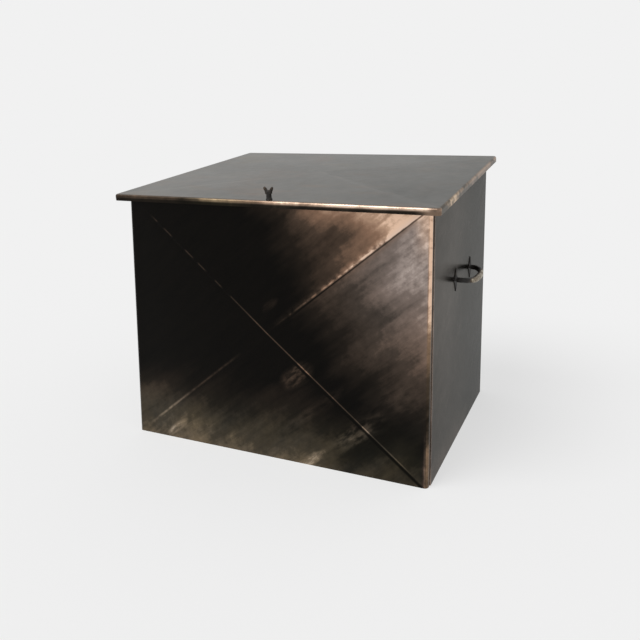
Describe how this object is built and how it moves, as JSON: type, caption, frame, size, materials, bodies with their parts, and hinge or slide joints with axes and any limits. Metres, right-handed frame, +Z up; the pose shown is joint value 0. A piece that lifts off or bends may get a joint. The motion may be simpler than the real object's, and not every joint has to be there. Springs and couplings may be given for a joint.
{
  "type": "kindling box",
  "caption": "Sheet-steel kindling box with a sloping overhanging lid hinged at the back, a forged knob and a bow handle on each side.",
  "frame": {"origin": "on the floor under the middle of the box", "axes": "+X to the right seen from the front, +Y to the back where the lid is hinged, +Z up"},
  "size_m": [0.56, 0.4166, 0.4512],
  "materials": {
    "front_patina": "dark bronze patina rubbed back to copper and brass, satin",
    "wall_patina": "dark bronze patina, satin",
    "lid_patina": "grey-green patina, edges rubbed back to brass, satin",
    "forged_iron": "forged, blackened, worn on the raised parts",
    "steel": "plain steel, dulled"
  },
  "bodies": {
    "box": {"front_panel": "front_patina", "back_panel": "wall_patina", "left_side_panel": "wall_patina", "right_side_panel": "wall_patina", "floor_pan": "wall_patina", "left_hinge_back_leaf": "forged_iron", "left_hinge_pin": "steel", "left_handle_bow": "forged_iron", "left_handle_front_rosette": "forged_iron", "left_handle_rear_rosette": "forged_iron", "left_handle_washers": "steel", "right_hinge_back_leaf": "forged_iron", "right_hinge_pin": "steel", "right_handle_bow": "forged_iron", "right_handle_front_rosette": "forged_iron", "right_handle_rear_rosette": "forged_iron", "right_handle_washers": "steel", "hinge_rivets": "steel"},
    "lid": {"lid_panel": "lid_patina", "lid_knob": "forged_iron", "knob_screw": "steel", "knob_washer": "steel", "left_hinge_lid_leaf": "forged_iron", "right_hinge_lid_leaf": "forged_iron"}
  },
  "joints": [
    {"name": "lid_hinge", "type": "hinge", "parent": "box", "child": "lid", "pos_m": [0, 0.1968, 0.4411], "axis": [-1, 0, 0], "range_deg": [0, 103]}
  ]
}
